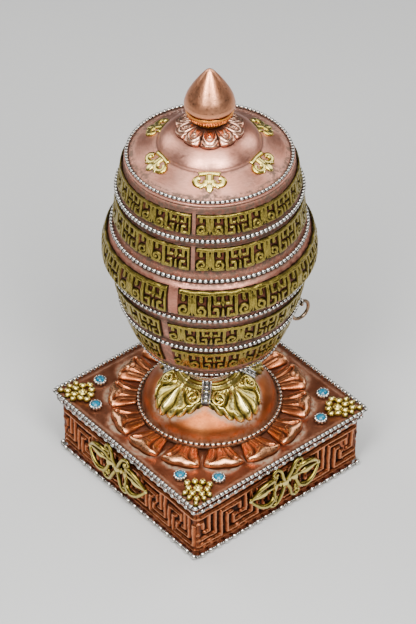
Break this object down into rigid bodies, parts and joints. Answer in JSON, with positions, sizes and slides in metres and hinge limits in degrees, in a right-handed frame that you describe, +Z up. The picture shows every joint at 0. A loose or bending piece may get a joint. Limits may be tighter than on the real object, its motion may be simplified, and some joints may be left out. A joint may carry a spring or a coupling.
{
  "type": "prayer wheel",
  "caption": "Table-top prayer wheel: barrel-shaped copper drum with brass relief bands that spins on a domed square base, with lift-off lid, finial and pull ring.",
  "frame": {"origin": "centre of the square base's underside, on the drum's spin axis", "axes": "+Z up along the spin axis; the base's sides lie along X and Y; -Y is the front side"},
  "size_m": [0.0816, 0.0816, 0.1705],
  "materials": {
    "base_copper": "hammered and chased sheet copper, warm red-brown, darkened in the hollows and rubbed bright on the high spots",
    "drum_copper": "spun sheet copper, pinkish, with fine turning lines and a thin grey-green patina along the joints",
    "brass": "stamped brass, olive gold, dark in the recesses and bright along the raised edges",
    "silver": "white-metal beaded wire, bright on the beads and black between them",
    "turquoise": "polished blue turquoise cabochon",
    "steel": "plain turned steel rod and nut",
    "bronze": "plain turned bronze bearing metal",
    "paper": "aged cream paper, tightly rolled, blank"
  },
  "bodies": {
    "base": {"axle": "steel", "axle_nut": "steel", "base_dome": "base_copper", "base_floor": "base_copper", "base_top_plate": "base_copper", "base_wall": "base_copper", "corner_back_left": "brass", "corner_back_right": "brass", "corner_front_left": "brass", "corner_front_right": "brass", "leaf_collar": "brass", "pedestal": "brass", "petal_ring": "base_copper", "stone_back_left_a": "turquoise", "stone_back_left_b": "turquoise", "stone_back_right_a": "turquoise", "stone_back_right_b": "turquoise", "stone_front_left_a": "turquoise", "stone_front_left_b": "turquoise", "stone_front_right_a": "turquoise", "stone_front_right_b": "turquoise", "strap_collar": "silver", "vajra_back": "brass", "vajra_front": "brass", "vajra_left": "brass", "vajra_right": "brass", "wire_dome": "silver", "wire_foot": "silver", "wire_side": "silver", "wire_top": "silver"},
    "drum": {"drum_bowl": "drum_copper", "drum_waist": "drum_copper", "drum_upper_wall": "drum_copper", "core_tube": "brass", "lower_bush": "bronze", "pivot_cup": "bronze", "prayer_roll": "paper", "ring_lug": "silver", "band_shoulder": "brass", "band_upper": "brass", "band_waist": "brass", "band_lower": "brass", "band_rim": "brass", "wire_upper": "silver", "wire_middle": "silver", "wire_waist": "silver", "wire_lower": "silver", "wire_rim": "silver"},
    "lid": {"lid_shell": "drum_copper", "wire_lid": "silver", "lotus_collar": "drum_copper", "applique_1": "brass", "applique_2": "brass", "applique_3": "brass", "applique_4": "brass", "applique_5": "brass", "applique_6": "brass"},
    "finial": {"finial_bud": "drum_copper", "finial_collar": "base_copper"},
    "ring": {"pull_ring": "base_copper"}
  },
  "joints": [
    {"name": "drum_spin", "type": "hinge", "parent": "base", "child": "drum", "pos_m": [0, 0, 0.06], "axis": [0, 0, 1], "continuous": true},
    {"name": "lid_lift", "type": "slide", "parent": "drum", "child": "lid", "axis": [0, 0, 1], "range_m": [0, 0.06]},
    {"name": "finial_unscrew", "type": "slide", "parent": "lid", "child": "finial", "axis": [0, 0, 1], "range_m": [0, 0.02]},
    {"name": "ring_swing", "type": "hinge", "parent": "drum", "child": "ring", "pos_m": [0.01748, 0.02692, 0.0693], "axis": [0, -1, 0], "range_deg": [-5, 70]}
  ]
}
